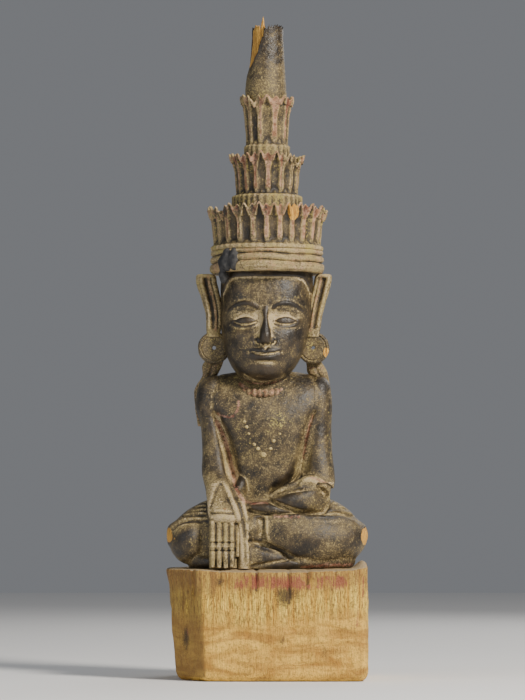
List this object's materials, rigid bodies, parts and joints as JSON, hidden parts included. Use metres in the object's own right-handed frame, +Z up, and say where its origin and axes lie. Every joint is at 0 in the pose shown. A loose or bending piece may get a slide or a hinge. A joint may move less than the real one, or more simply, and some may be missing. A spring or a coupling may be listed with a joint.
{
  "type": "carved wooden seated buddha statue",
  "caption": "Crowned seated figure in carved, lacquered and gilded wood, one hand reaching down to the ground, tall tiered leaf crown, on a raw timber block.",
  "frame": {"origin": "centre of the timber block's footprint, on the floor", "axes": "+Z up, the figure faces -Y, +X towards the figure's own left hand"},
  "size_m": [0.15, 0.112, 0.5],
  "materials": {
    "raw_timber": "sawn and adzed, unfinished, stained",
    "aged_lacquer": "dark aged lacquer with traces of gilding, semi-gloss",
    "worn_gilding": "rubbed gilding over lacquer, dusty",
    "repair_putty": "dark lacquer putty, matt",
    "bead_putty": "gilded lacquer putty",
    "peg_wood": "bare"
  },
  "bodies": {
    "root": {"plinth_block": "raw_timber", "plinth_dowels": "peg_wood", "crossed_legs": "aged_lacquer", "torso": "aged_lacquer", "right_arm": "aged_lacquer", "left_arm": "aged_lacquer", "left_forearm": "aged_lacquer", "right_hand": "aged_lacquer", "shoulder_pegs": "peg_wood", "waist_dowels": "peg_wood", "wrist_peg": "peg_wood", "elbow_peg": "peg_wood", "neck_dowel": "peg_wood", "neck_collar": "aged_lacquer", "head": "aged_lacquer", "right_ear": "aged_lacquer", "left_ear": "aged_lacquer", "right_ear_disc": "aged_lacquer", "left_ear_disc": "aged_lacquer", "ear_pegs": "peg_wood", "right_shoulder_ribbon": "aged_lacquer", "left_shoulder_ribbon": "aged_lacquer", "crown_band": "worn_gilding", "band_putty": "repair_putty", "crown_tier_lower": "worn_gilding", "crown_tier_middle": "worn_gilding", "crown_tier_upper": "worn_gilding", "crown_finial": "worn_gilding", "crown_core_rod": "peg_wood", "necklace_beads": "bead_putty"}
  },
  "joints": []
}
